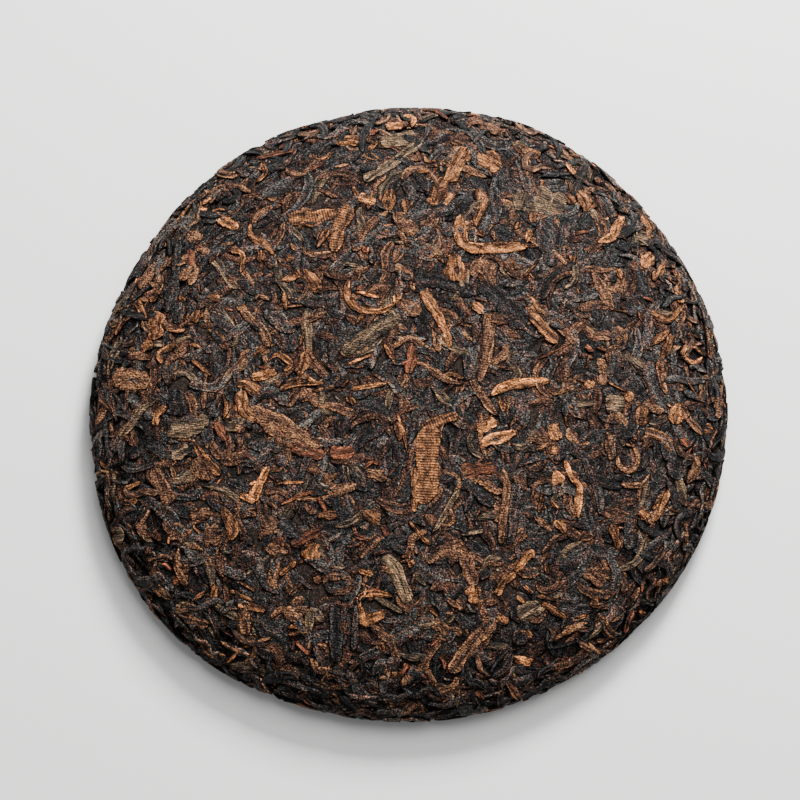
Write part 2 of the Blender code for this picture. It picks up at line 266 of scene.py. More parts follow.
def tea_leaf(name, stops, roughness=0.6, streaks=0.8, blotches=0.6, specks=3.0, fibres=3.0, crease_shading=0.5,
             prints=1.0, ribs=0.0, rim_highlight=0.14, stretch=0.3, dust=0.0, stain=0.0, shine=0.08):
    """Leaf whose tone runs through the given colours, darkest first."""
    material = bpy.data.materials.new(name)
    material.use_nodes = True
    tree = material.node_tree
    shader = tree.nodes["Principled BSDF"]
    tone, edge, depth, fold, walked = (add(tree, "ShaderNodeAttribute", attribute_name=key).outputs["Fac"]
                                       for key in ("tone", "edge", "depth", "fold", "along"))
    grain = add(tree, "ShaderNodeAttribute", attribute_name="grain").outputs["Vector"]
    places = add(tree, "ShaderNodeTexCoord").outputs["Object"]

    def mottle(where, scale, detail):
        return add(tree, "ShaderNodeTexNoise", in_0=where, in_2=scale, in_3=detail, in_4=0.6).outputs[0]

    def step(value, low, high, first, last):
        return add(tree, "ShaderNodeMapRange", interpolation_type='SMOOTHSTEP', in_0=value, in_1=low,
                   in_2=high, in_3=first, in_4=last).outputs[0]

    def stretched(*amounts):
        return add(tree, "ShaderNodeVectorMath", operation="MULTIPLY", in_0=grain, in_1=amounts).outputs[0]

    # Streaks, fibres and veins run along the leaf, blotches lie over it, and specks are its grain
    streak = mottle(stretched(stretch, 2.2, 1), 1.0, 3.0)
    fibre = mottle(stretched(0.25, 2.9, 1), 1.0, 1.0)
    vein = mottle(stretched(0.13, 0.5, 1), 1.0, 3.0)
    blotch = mottle(grain, 0.45, 3.0)
    askew = add(tree, "ShaderNodeMapping", in_0=places, in_2=(0.6, 0.5, 0.8), in_3=(GRAIN_SCALE,) * 3)
    speck = add(tree, "ShaderNodeTexNoise", in_0=askew.outputs[0], in_2=1.0, in_3=0.0, in_8=0.8).outputs[0]

    # The cloth's threads print on the parts that stand up, and ribs cross some of the leaves
    turned = add(tree, "ShaderNodeMapping", in_0=places, in_2=(0, 0, THREAD_ANGLE),
                 in_3=(math.tau / THREAD_PITCH,) * 3)
    threads = add(tree, "ShaderNodeSeparateXYZ", in_0=turned.outputs[0])
    on_top = add(tree, "ShaderNodeMapRange", in_0=depth, in_1=0.05, in_2=0.45, in_3=1.0, in_4=0.15)
    weave = sums(tree, "MULTIPLY", sums(tree, "SINE", threads.outputs[1]), on_top.outputs[0])
    rib_turn = sums(tree, "MULTIPLY_ADD", blotch, 5.0, sums(tree, "MULTIPLY", walked, RIBS_PER_MM))
    rib = sums(tree, "SINE", rib_turn)

    # How light the leaf is, from its own tone, painted shade where it lies deeper and in the
    # creases of its folds (lighter on their ridges), and a painted highlight inside its rim
    # Painted shade: the deeper a part of the leaf lies, the darker it is
    level = sums(tree, "MULTIPLY_ADD", depth, -0.16, tone)
    # The fold term is painted shade in the creases and a painted highlight on the ridges
    for part, middle, strength in ((streak, 0.5, streaks), (blotch, 0.5, blotches), (fold, 0.7, 0.36),
                                   (speck, 0.5, dust)):
        level = sums(tree, "MULTIPLY_ADD", sums(tree, "SUBTRACT", part, middle), strength, level)
    # Painted highlight: a lighter band just inside the leaf's rounded rim, in patches
    highlight_band = sums(tree, "MULTIPLY", step(edge, 0.4, 0.56, 0.0, 1.0), step(edge, 0.62, 1.0, 1.0, 0.0))
    highlight_band = sums(tree, "MULTIPLY", highlight_band, step(blotch, 0.45, 0.6, 0.0, 1.0))
    level = sums(tree, "MULTIPLY_ADD", highlight_band, rim_highlight, level)
    level = sums(tree, "MULTIPLY_ADD", weave, 0.05 * prints, level)
    level = sums(tree, "MULTIPLY_ADD", rib, 0.06 * ribs, level)

    # Brown patches in the leaf's colour, then its specks, painted shade in its fine creases
    # and the painted shadow of the crack round it
    patches = step(mottle(stretched(0.5, 1.1, 1), 0.5, 3.0), 0.47, 0.58, 0.0, stain)
    mixed = add(tree, "ShaderNodeMixRGB", in_0=patches, in_1=ramp_of(tree, level, stops),
                in_2=ramp_of(tree, level, RED_BROWN)).outputs[0]
    off_vein = sums(tree, "ABSOLUTE", sums(tree, "SUBTRACT", vein, 0.5))
    # Painted shade: fine crease lines are darkened in colour, and also sunk in the bump below
    shaded_crease_line = step(off_vein, 0.008, 0.035, 1 - crease_shading, 1.0)
    # Painted shadow: the colour falls to near black towards the leaf's edge, as the crack round it
    painted_crack_shadow = step(edge, 0.2, 0.52, 0.03, 1.0)
    gain = sums(tree, "MULTIPLY_ADD", speck, specks, 1 - specks / 2)
    gain = sums(tree, "MULTIPLY_ADD", sums(tree, "SUBTRACT", fibre, 0.5), fibres, gain)
    gain = sums(tree, "MULTIPLY", sums(tree, "MAXIMUM", gain, 0.12), sums(tree, "MULTIPLY", shaded_crease_line, painted_crack_shadow))
    shade = add(tree, "ShaderNodeVectorMath", operation="SCALE", in_0=mixed, in_3=gain)
    tree.links.new(shade.outputs[0], shader.inputs["Base Color"])

    height = sums(tree, "MULTIPLY_ADD", streak, 2.4 * streaks, sums(tree, "MULTIPLY", speck, 1.6))
    for part, strength in ((weave, 0.25 * prints), (rib, 0.3 * ribs), (shaded_crease_line, 0.8)):
        height = sums(tree, "MULTIPLY_ADD", part, strength, height)
    bump = add(tree, "ShaderNodeBump", in_0=0.9, in_1=0.0003, in_3=height)
    tree.links.new(bump.outputs[0], shader.inputs["Normal"])
    shader.inputs["Roughness"].default_value = roughness
    shader.inputs["Specular IOR Level"].default_value = shine
    return material


FINISHES = {
    "dark": tea_leaf("dark_leaf", NEAR_BLACK, roughness=0.65, streaks=0.3, blotches=0.35, specks=5.6,
                     fibres=0.8, prints=0.5, rim_highlight=0.13, stretch=1.0, dust=0.25, stain=0.5, shine=0.07),
    "rim_dark": tea_leaf("rim_dark_leaf", NEAR_BLACK, roughness=0.5, streaks=0.5, blotches=0.6, specks=3.0,
                         fibres=1.2, crease_shading=0.8, prints=0, rim_highlight=0.1, stretch=0.5, dust=0.2, stain=0.35,
                         shine=0.1),
    "rim_brown": tea_leaf("rim_brown_leaf", LEAF_BROWN, roughness=0.5, streaks=0.6, blotches=0.9, specks=3.0,
                          fibres=1.6, crease_shading=0.9, prints=0, shine=0.12),
    "brown": tea_leaf("brown_leaf", LEAF_BROWN, streaks=0.45, blotches=0.55, specks=4.0, fibres=1.4,
                      crease_shading=0.8, prints=0.6, ribs=0.45, dust=0.2, stain=0.25),
    "gold": tea_leaf("golden_bud", DOWNY_GOLD, roughness=0.65, streaks=0.8, blotches=0.8, specks=3.0,
                     fibres=1.7, crease_shading=0.8, prints=0.2, ribs=0.4, shine=0.05),
    "ribbed": tea_leaf("ribbed_leaf", DOWNY_GOLD, streaks=0.1, blotches=1.0, specks=2.6, fibres=0.3,
                       crease_shading=0.6, prints=0, ribs=1.4, shine=0.06),
    "red": tea_leaf("red_stem", RED_BROWN, specks=2.4, prints=0.3, crease_shading=0.6),
    "olive": tea_leaf("olive_leaf", OLIVE_GREY, streaks=1.2, specks=2.8, crease_shading=0.6, shine=0.1),
}

GOLDEN_ANGLE = math.pi * (3 - math.sqrt(5))
LOOSE_FROM = 80 * MM
LOOSE_SPAN = 18 * MM
WRAPPED_FROM = 74 * MM
WRAPPED_SPAN = 22 * MM
WRAPPED_HOLD = 0.72
STRAY = 1.5 * MM
WAVINESS = 0.28
RIPPLE = 0.17
TEAR = 0.1


def stations(count):
    """Parts of the way along a leaf, closer together at its ends."""
    even = np.linspace(0, 1, count)
    return 0.45 * even + 0.55 * (1 - np.cos(math.pi * even)) / 2


def half_widths(draw, width, at, blunt):
    """Half widths right and left of each leaf's middle, uneven, with rounded or torn ends."""
    count = len(width)
    ends = np.sqrt(1 - np.abs(2 * at - 1) ** draw.uniform(*blunt, (count, 1)) * 0.96)
    sides = []
    for _ in range(2):
        ripple = np.sin(at * draw.uniform(4, 12, (count, 1)) + draw.uniform(0, math.tau, (count, 1)))
        torn = np.sin(at * draw.uniform(15, 28, (count, 1)) + draw.uniform(0, math.tau, (count, 1)))
        lean = (at - 0.5) * draw.uniform(-0.6, 0.6, (count, 1))
        shape = width[:, None] / 2 * ends * (1 + RIPPLE * ripple + TEAR * torn + lean)
        sides.append(shape * draw.uniform(0.8, 1.15, (count, 1)))
    return sides


def wandering(draw, count, inner, reach, lengths, bend, turning, at):
    """Curved routes spread over the flattened skin by the golden angle, along the rim near it."""
    part = (np.arange(count) + 0.5) / count
    distance = np.sqrt(inner ** 2 + (reach ** 2 - inner ** 2) * part) + draw.normal(0, STRAY, count)
    distance = np.clip(distance, 0.5 * MM, reach)
    bearing = np.arange(count) * GOLDEN_ANGLE + draw.uniform(0, math.tau) + draw.normal(0, 0.03, count)
    near_rim = np.clip((distance - WRAPPED_FROM) / WRAPPED_SPAN, 0, 1)
    freedom = turning * (1 - WRAPPED_HOLD * near_rim)
    heading = bearing + math.pi / 2 * (1 + draw.uniform(-1, 1, count) * freedom)
    waves = draw.normal(0, WAVINESS, (count, 1)) * np.sin(at * draw.uniform(5, 12, (count, 1))
                                                          + draw.uniform(0, math.tau, (count, 1)))
    angle = heading[:, None] + draw.normal(0, bend, (count, 1)) * (at - 0.5) + waves
    length = draw.uniform(*lengths, (count, 1)) * np.gradient(at)
    route = np.cumsum(np.stack((np.cos(angle), np.sin(angle)), -1) * length[..., None], 1)
    middles = np.stack((np.cos(bearing), np.sin(bearing)), -1) * distance[:, None]
    return middles[:, None] + route - route.mean(1, keepdims=True)


def through(row, at):
    """A smooth route over the skin through places seen from straight above, in millimetres."""
    seen_at = np.array(row, float).reshape(-1, 2) * MM
    seen_at = seen_at / spread(seen_at[:, 0], seen_at[:, 1])[:, None]
    radius = np.maximum(np.hypot(seen_at[:, 0], seen_at[:, 1]), 1e-9)
    distance = np.interp(np.arcsin(np.minimum(radius / RIM_RADIUS, 0.9999)), turns, track_s)
    points = seen_at * (distance / radius)[:, None]
    spans = len(points) - 1
    span = np.minimum((at * spans).astype(int), spans - 1)
    way = (at * spans - span)[:, None]
    before, start = points[np.maximum(span - 1, 0)], points[span]
    end, after = points[span + 1], points[np.minimum(span + 2, spans)]
    leave, arrive = (end - before) / 2, (after - start) / 2
    return (start * (2 * way ** 3 - 3 * way ** 2 + 1) + leave * (way ** 3 - 2 * way ** 2 + way)
            + end * (3 * way ** 2 - 2 * way ** 3) + arrive * (way ** 3 - way ** 2))


PROUD = 0.3 * MM
SWAY = 0.12 * MM
EDGE_DROP = 0.62 * MM
EDGE_SHARPNESS = 16
GRAIN_SHIFT = 13.7
CHART_MARGIN = 0.03


def leaf_skins(draw, routes, width, level, form, folds, thickness, blunt, back):
    """Rings of points round each leaf, and each point's lift, fold, way across and way to the edge."""
    count, rings = routes.shape[:2]
    at = stations(rings)
    sides = [side[:, :, None] for side in half_widths(draw, width, at, blunt)]
    tangent = np.gradient(routes, axis=1)
    tangent /= np.maximum(np.linalg.norm(tangent, axis=2, keepdims=True), 1e-9)
    left = np.stack((-tangent[..., 1], tangent[..., 0]), -1)[:, :, None]
    across = np.concatenate(form)
    half_width = np.where(across < 0, *sides)
    offset = half_width * across

    def any_one(low, high):
        return draw.uniform(low, high, (count, 1, 1))

    way = at[None, :, None]
    turn = across * any_one(1.4, 3.8) + any_one(0, math.tau) + way * any_one(-2.5, 2.5)
    crease = np.abs(np.sin(turn)) ** 0.7
    sway = np.sin(way * any_one(3, 9) + any_one(0, math.tau))
    from_middle = np.linalg.norm(routes, axis=2)[:, :, None]
    loose = np.clip((from_middle - LOOSE_FROM) / LOOSE_SPAN, 0, 1)
    lift = level[:, None, None] * (1 + 1.3 * loose) + folds * (1 + 1.5 * loose) * (crease - 0.7)
    lift = lift + SWAY * (1 + 2 * loose) * sway + any_one(-0.2, 0.5) * MM * loose
    lift = np.minimum(lift, PROUD * loose) - EDGE_DROP * (1 + 0.4 * loose) * np.abs(across) ** EDGE_SHARPNESS
    deep = np.min(lift, 2, keepdims=True) - thickness
    top = np.arange(len(across)) < len(form[0])
    lift = np.where(top, lift, deep)
    edge = np.where(top, (1 - np.abs(across)) * half_width, 0)
    return on_cake(routes[:, :, None] + left * offset[..., None], lift, back), lift, crease, offset, edge


def leaf_faces(rings, points, back):
    """One leaf's faces, as corners and each face's first corner, and the corners' places on its chart."""
    point = np.arange(points)
    after = (point + 1) % points
    ring = np.arange(rings - 1)[:, None] * points
    end = (rings - 1) * points
    first_tip = 0 * point + rings * points
    quads = np.stack((ring + point, ring + points + point, ring + points + after, ring + after), -1)
    quads = quads.reshape(-1, 4)
    fans = np.concatenate((np.stack((point, after, first_tip), -1),
                           np.stack((end + after, end + point, first_tip + 1), -1)))
    ring_u = (np.arange(rings) + 0.5) / rings
    quad_u = np.stack((ring_u[:-1], ring_u[1:], ring_u[1:], ring_u[:-1]), -1).repeat(points, 0)
    quad_v = np.tile(np.stack((point, point, point + 1, point + 1), -1), (rings - 1, 1)) / points
    fan_u = np.concatenate([np.stack((0 * point + near, 0 * point + near, 0 * point + tip), -1)
                            for near, tip in ((ring_u[0], 0.0), (ring_u[-1], 1.0))])
    fan_v = np.concatenate((np.stack((point, point + 1, point + 0.5), -1),
                            np.stack((point + 1, point, point + 0.5), -1))) / points
    if back:
        quads, fans, quad_u, quad_v, fan_u, fan_v = (
            part[:, ::-1] for part in (quads, fans, quad_u, quad_v, fan_u, fan_v))
    corners = np.concatenate((quads.ravel(), fans.ravel()))
    starts = np.concatenate((np.arange(len(quads)) * 4, quads.size + np.arange(len(fans)) * 3))
    chart = np.stack((np.concatenate((quad_u.ravel(), fan_u.ravel())),
                      np.concatenate((quad_v.ravel(), fan_v.ravel()))), -1)
    return corners, starts, chart


def leaf_piece(name, finish, draw, routes, width, level, tones, form, folds=0.3 * MM,
               thickness=0.5 * MM, blunt=(2.5, 7), back=False):
    """A piece of many leaves of one kind: closed strips on their routes, with folded, flattened tops."""
    count, rings = routes.shape[:2]
    skins, lift, crease, offset, edge = leaf_skins(draw, routes, width, level, form, folds, thickness,
                                                   blunt, back)
    points = skins.shape[2]
    per_leaf = rings * points + 2
    tips = [(skins[:, one].mean(1) + (skins[:, one].mean(1) - skins[:, two].mean(1)) * 0.3)[:, None]
            for one, two in ((0, 1), (-1, -2))]
    verts = np.concatenate((skins.reshape(count, -1, 3), *tips), 1)
    corners, starts, chart = leaf_faces(rings, points, back)
    leaf = np.arange(count)[:, None]
    mesh = bpy.data.meshes.new(name)
    mesh.vertices.add(count * per_leaf)
    mesh.vertices.foreach_set("co", verts.astype(np.float32).ravel())
    mesh.loops.add(count * len(corners))
    mesh.loops.foreach_set("vertex_index", (leaf * per_leaf + corners).astype(np.int32).ravel())
    mesh.polygons.add(count * len(starts))
    mesh.polygons.foreach_set("loop_start", (leaf * len(corners) + starts).astype(np.int32).ravel())
    mesh.update(calc_edges=True)

    def write(key, values, at_tips):
        values = np.broadcast_to(values, (count, rings, points)).reshape(count, -1)
        values = np.concatenate((values, np.broadcast_to(at_tips, (count, 2))), 1)
        layer = mesh.attributes.new(key, 'FLOAT', 'POINT')
        layer.data.foreach_set("value", values.astype(np.float32).ravel())
        return values

    depth = np.clip(-lift / MM, 0, 1.5)
    write("tone", tones[:, None, None], tones[:, None])
    write("edge", edge / MM, 0)
    write("depth", depth, depth[:, (0, -1), 0])
    write("fold", crease, 0.5)
    walked = np.linalg.norm(np.diff(routes, axis=1), axis=2).cumsum(1) / MM
    walked = np.concatenate((np.zeros((count, 1)), walked), 1)
    grain = np.stack((write("along", walked[:, :, None], walked[:, (0, -1)]), write("across", offset / MM, 0),
                      np.broadcast_to(leaf * GRAIN_SHIFT, (count, per_leaf))), -1)
    grain_layer = mesh.attributes.new("grain", 'FLOAT_VECTOR', 'POINT')
    grain_layer.data.foreach_set("vector", grain.astype(np.float32).ravel())
    columns = max(round(math.sqrt(count / 4)), 1)
    cell = np.stack((leaf % columns, leaf // columns), -1)
    places = cell + CHART_MARGIN + (1 - 2 * CHART_MARGIN) * chart
    places = places / (columns, math.ceil(count / columns))
    mesh.uv_layers.new(name="OFBake").uv.foreach_set("vector", places.astype(np.float32).ravel())
    piece = bpy.data.objects.new(name, mesh)
    finish_piece(piece, FINISHES[finish])
    return piece


BROAD = np.array((-1, -0.94, -0.8, -0.52, -0.18, 0.18, 0.52, 0.8, 0.94, 1)), np.array((0.6, -0.6))
PLAIN = np.array((-1, -0.92, -0.66, -0.22, 0.22, 0.66, 0.92, 1)), np.array((0.6, -0.6))
SMALL = np.array((-1, -0.75, 0, 0.75, 1)), np.array((0.5, -0.5))


def scatter(name, finish, seed, count, lengths, widths, levels, tones, rings=10, form=PLAIN, bend=0.9,
            reach=119 * MM, inner=0.0, turning=1.0, **more):
    """A piece of leaves of one kind all over the face and the rim, or over the back."""
    draw = np.random.default_rng(seed)
    lengths, widths, levels = (np.array(pair) * MM for pair in (lengths, widths, levels))
    routes = wandering(draw, count, inner, reach, lengths, bend, turning, stations(rings))
    return leaf_piece(name, finish, draw, routes, draw.uniform(*widths, count), draw.uniform(*levels, count),
                      draw.uniform(*tones, count), form, **more)


HIDDEN_RIMS = 1.2


def place(name, finish, seed, rows, tones, levels=(-0.04, 0.06), rings=13, **more):
    """A piece of leaves laid one by one: each row is a width and then the route's points, millimetres."""
    draw = np.random.default_rng(seed)
    routes = np.stack([through(row[1:], stations(rings)) for row in rows])
    width = np.array([row[0] for row in rows]) * HIDDEN_RIMS * MM
    level = draw.uniform(*levels, len(rows)) * MM
    tone = draw.uniform(*tones, len(rows))
    return leaf_piece(name, finish, draw, routes, width, level, tone, BROAD, **more)


# The bulk of the cake, whole and broken leaf laid down in layers: broad leaves lowest,
# then narrower ones, strips and bits. Round the rim lie strips, and curled leaves that
# the cloth pressed less, which have no print of it on them.

scatter("base_leaves", "dark", 1, 880, (13, 25), (3.5, 7.5), (-0.7, -0.45), (0.24, 0.42), rings=7)
scatter("base_brown", "brown", 10, 280, (12, 22), (3.2, 6.5), (-0.65, -0.42), (0.24, 0.48), rings=7)
scatter("dark_leaves", "dark", 3, 430, (10, 20), (2.8, 5.8), (-0.5, -0.28), (0.24, 0.46))
scatter("brown_leaves", "brown", 2, 400, (8, 18), (2.4, 4.8), (-0.5, -0.26), (0.24, 0.52), bend=1.3)
scatter("olive_leaves", "olive", 4, 120, (11, 20), (2.4, 4.2), (-0.34, -0.18), (0.34, 0.54), bend=1.5)
scatter("dark_strips", "dark", 5, 260, (5, 12), (1.3, 2.6), (-0.42, -0.2), (0.25, 0.55), rings=7,
        form=SMALL)
scatter("brown_bits", "brown", 9, 170, (4, 10), (1.4, 2.6), (-0.42, -0.2), (0.32, 0.56), rings=7,
        form=SMALL)
scatter("golden_bits", "gold", 6, 150, (4, 9), (1.2, 2.3), (-0.42, -0.2), (0.34, 0.51), rings=7, form=SMALL)
scatter("red_bits", "red", 7, 90, (3, 9), (1.2, 2), (-0.42, -0.2), (0.35, 0.65), rings=7, form=SMALL)
scatter("top_dark", "dark", 31, 240, (10, 22), (2.6, 5.2), (-0.3, -0.15), (0.22, 0.45), rings=12, bend=1.3)
scatter("top_brown", "brown", 32, 240, (9, 20), (2.4, 4.2), (-0.3, -0.13), (0.34, 0.6), rings=12, bend=1.8)
scatter("rim_strips", "dark", 8, 260, (9, 18), (1.4, 3), (-0.3, 0.1), (0.2, 0.5), form=SMALL, bend=0.4,
        reach=116 * MM, inner=94 * MM, turning=0.3)
scatter("rim_curls", "rim_dark", 33, 340, (7, 15), (1.9, 3.8), (-0.35, 0.2), (0.12, 0.42), rings=8,
        bend=1.6, reach=118 * MM, inner=87 * MM, turning=3, folds=0.4 * MM, thickness=0.9 * MM)
scatter("rim_brown", "rim_brown", 34, 190, (6, 14), (1.6, 3.2), (-0.35, 0.2), (0.2, 0.54), rings=8,
        bend=1.6, reach=117 * MM, inner=87 * MM, turning=3, folds=0.4 * MM, thickness=0.9 * MM)

# The leaves that stand out on the face, laid where they lie: tan buds and tips, whose
# fine down has kept them light, rolled lengthwise and pressed nearly flush.

place("pale_buds", "gold", 11, (
    (3, -43.5,-23.5, -46.5,-29.5, -48.5,-34), (2, -49,-29, -45,-28), (2.5, -52,-32, -47.5,-34.5),
    (4, 21,-12, 27,-9), (4, 22,-16, 33,-13), (2.5, -66.5,63.5, -64.5,62.5), (1.5, -66,65, -63,67),
    (4, 77.5,48, 73.5,43.5), (2, 50,79, 53,75), (4, 44,-27, 48,-27), (3, 20,29.5, 23,26),
    (3, -16,65, -10.5,63.5), (2, -15.5,-55.5, -11,-57.5), (2.5, 0,-53.5, 1.5,-54.5), (3, 32,-81.5, 37,-84),
    (2.8, 25.5,-1, 32,3, 44,4), (4, 44,-10, 46,-15), (1.5, -17,33, -9,31), (2.5, -2,95.5, 1,95.5, 1,91),
), (0.61, 0.73), blunt=(1.8, 5))
place("bright_buds", "gold", 12, (
    (3.6, 16.5,59, 17,50.5, 21.5,47.5, 37.5,48.5), (3.5, 3.5,33, 9.5,24.5, 13,14.5),
    (2, -56,48, -52.5,46.5, -53,40), (3.5, -23.5,86.5, -16,85.5), (3.5, -7.5,92, -2,91),
    (2.8, 24.5,65.5, 23,61, 21,55), (2.2, 48,-21, 50,-26.5, 52.5,-29.5, 52,-35, 52,-39.5),
    (2, 29,-86, 32.5,-87.5), (4.2, 83.5,-1.5, 83,-8.5), (2.5, -75.5,-3, -78.5,-6, -78,-9),
    (4.5, -29,-47.5, -30,-52.5), (5, 19,83, 15.5,77, 11.5,71), (2.5, -5,-64, -10.5,-63, -15,-64, -15,-68),
    (2.5, -15,-67, -13.5,-72, -11,-70.5, -7.5,-69), (2.2, 81,-28.5, 79,-33, 76.5,-38.5, 74.5,-37),
    (4.6, 19.5,-66, 20,-60.5), (3, 45,-17, 44.5,-19.5), (2.6, -18.5,37.5, -19,31, -15,27, -9,26.3, -4,29),
    (2.5, -4,29, -4,32), (1.3, -19,9, -11.5,12.5), (2.5, 81.5,22, 75.5,16.5),
    (2.2, 92.2,15, 89,18.2, 85.8,15, 89,11.8, 92.2,14.5), (3, 38.5,-50, 36,-51.5, 32.5,-56.5),
    (3, 68.5,60.5, 66,57.5, 64.5,53, 59.5,51), (3, 46,-40, 46.5,-43), (2.5, 86,32, 84.5,38),
    (1.5, -39,-29, -32,-28.5), (3.5, -60,59.5, -54,55.5), (1.8, -39,33, -38.5,27), (3, -49,5, -41,6.5),
    (2, -18,1, -7,3),
), (0.49, 0.63), blunt=(1.6, 4.5))
place("golden_buds", "gold", 13, (
    (2.5, -44,10, -41,12.5, -36.5,9.5, -39,7), (2, -40,1, -36,2.5, -26,3), (1.3, -30,0.5, -23,2),
    (2.5, -19,-1, -17,-4), (1.5, -8,16, -4,9), (2, -40,37, -34,38.5), (4, -33,40.5, -27.5,33.5),
    (1.5, -31.5,22.5, -34,15), (3.5, -32,14, -34,6), (0.8, -29.5,17, -29,12, -24,7),
    (6.2, 14.5,45.5, 14.5,36.5), (0.8, 14,21, 18.5,25.5), (2, 28,-1, 29.5,-6), (3.5, 36.5,32, 41,26),
    (4, 37.5,26, 46,16.5), (1, 36,38, 41,44), (2.5, -28,-39, -22,-39), (1.3, -4,-6.5, -2,-12, -0.5,-19),
    (3, -3.5,-9.5, -2.8,-15.5), (3, 1.5,-24, 2,-38), (4, -14,-38, -9,-42), (1.5, 41,-32, 40,-38),
    (1.2, 20,-41, 22,-37), (1.5, 0,-40.5, 4,-46, 7,-48), (2.2, -70,66, -75.7,56, -77.5,51),
    (2.8, -50,57, -50,53, -45.5,50, -42.5,46), (2.5, -39,45, -36,44.5), (1.8, -47,79, -46,75, -48.5,71.5),
    (2.2, -29,48, -25.5,54.5), (2, -9.8,86, -13,82), (4, -5.5,68, -6.5,60.5), (2.5, -1.5,64.5, -1,60),
    (4.4, 12,72, 8,63.5), (3, 10.5,63, 14,66), (3, 7,65, 7.5,62), (1.8, 20.5,54, 24,52),
    (3, 22,68.5, 21.5,64.5), (7, 22,81, 29,76), (4, 33.5,86, 37.5,83, 42,81.5), (2, 18.5,97, 24,96),
    (2.5, 39,60.5, 39.5,57), (1.8, 34.5,57, 33.5,54.5), (2, 38.5,54.5, 37,50), (3.5, 31,43, 33.5,42),
    (1.5, 5,80, 6,78, 9,78.5), (1.5, 3,74, 6.5,74.5), (4, 53,70, 56,66, 57,61.5), (3, 50.5,67.5, 52,64),
    (1.5, 57,62.5, 60,64.5), (4, 74.5,62, 76.5,58, 75.5,56), (2.5, 81,45, 77,39), (2, 65.5,42, 67,38.5),
    (0.7, 67,54.5, 69,52), (2.5, 52,83.5, 55,81.5), (2.5, 51.5,46, 51.5,43.5), (5.5, -79.5,28.5, -79.5,19),
    (2.5, -86,41, -87,35, -82.5,26), (2.5, -92.5,22, -90,27.5, -87.5,27), (3, -84,16, -80,17.5),
    (2.5, -73,17, -78,14.5, -77,11), (2, -76,22, -70,21.5), (3, -62,33, -59.5,31.5),
    (2.5, -65.5,28, -67,24), (1.2, -66,36.5, -65.5,33.5), (3.5, -53.5,3.5, -49.5,2.5, -46,-1),
    (4, -52,1, -50,-6, -46,-8), (1.5, -58,0, -56.5,-4, -57.5,-8), (1.5, -68,17, -65,15.5),
    (2.5, -82,33, -79,34), (2.5, -72,33.5, -70.5,31), (2.5, 82.5,21, 79.5,12.5),
    (3, 76,28, 81.5,26, 86.5,31.5), (4, 72.5,-3.5, 72,-9.5), (1.2, 86,7.5, 90.5,0.5), (1.2, 92,4, 90.5,0.5),
    (3, 55,4, 57,2), (3, 67,-1, 70,0), (1, 62,4, 68,1), (2.6, -66.5,-15, -62.5,-21, -58,-25.5),
    (3.6, -57.5,-35.5, -56,-39, -54,-43, -55,-46), (2, -88.5,-29, -83,-27), (3, -88,-32, -84,-32.5),
    (2, -97,-16, -94.5,-21.5), (1.5, -74,-44, -74,-46.5), (3, 71.5,-36, 73.5,-38.5),
    (1.2, 75,-36, 77.5,-33.5), (3, 63,-40.5, 64.5,-48.5), (2.5, 46,-41, 48,-44), (3, 92,-9, 95,-9),
    (2, 96.5,-24, 95,-33), (3, -80,-54, -78,-55), (2.5, -59.5,-59.5, -60,-63.5),
    (1.5, -66.5,-64, -62.5,-61.5), (2, -56,-82.5, -52,-79.5), (1.5, -52,-59, -47,-62),
    (2, -52,-65.5, -50.5,-67), (2.5, -29,-59, -27,-58), (2, -39.5,-57, -34.5,-53), (1.5, -37,-73, -34,-73),
    (1.5, -37,-75, -31,-74.5), (2.5, -7.5,-86.5, -3.5,-87), (2, -49.5,-66, -44,-68),
    (2.6, 32.5,-56.5, 29,-59.5, 27,-63.5), (2.5, 40.5,-65.5, 45.5,-68, 48.5,-70.5), (2, 49.5,-70, 54.5,-69),
    (1.5, 39,-63.5, 45,-64.5), (1.5, 35,-60.5, 38,-62.5), (2.5, 27.5,-69, 30,-72),
    (1.5, 15,-87.5, 17,-88.5), (1.5, 41.5,-88.5, 43.5,-87.5), (2, 36,-73.5, 37.5,-76),
    (1.3, 70.5,-66.5, 73,-67), (3, 78,-57, 80,-57), (3, 55.5,-65, 58,-65.5),
), (0.37, 0.54), blunt=(1.6, 4.5))

# Four broader downy leaves, a big one near the middle with its bent arm and two more
# above. They were pressed hard and took the print of the cloth as ribs across them.

place("ribbed_leaves", "ribbed", 18, (
    (6.6, 5.8,-11, 5.5,-23, 4.6,-35.5), (3, 4,-12, 15,-7), (4.6, -19.5,63, -22,55.5, -23.5,46.5),
    (4.6, -23,60.7, -30,58.5, -38,57.5),
), (0.43, 0.5), rings=17, blunt=(3, 6))

# Red-brown stems and stalk ends among the leaves, smoother than the leaf and with
# little of the cloth's print on them.

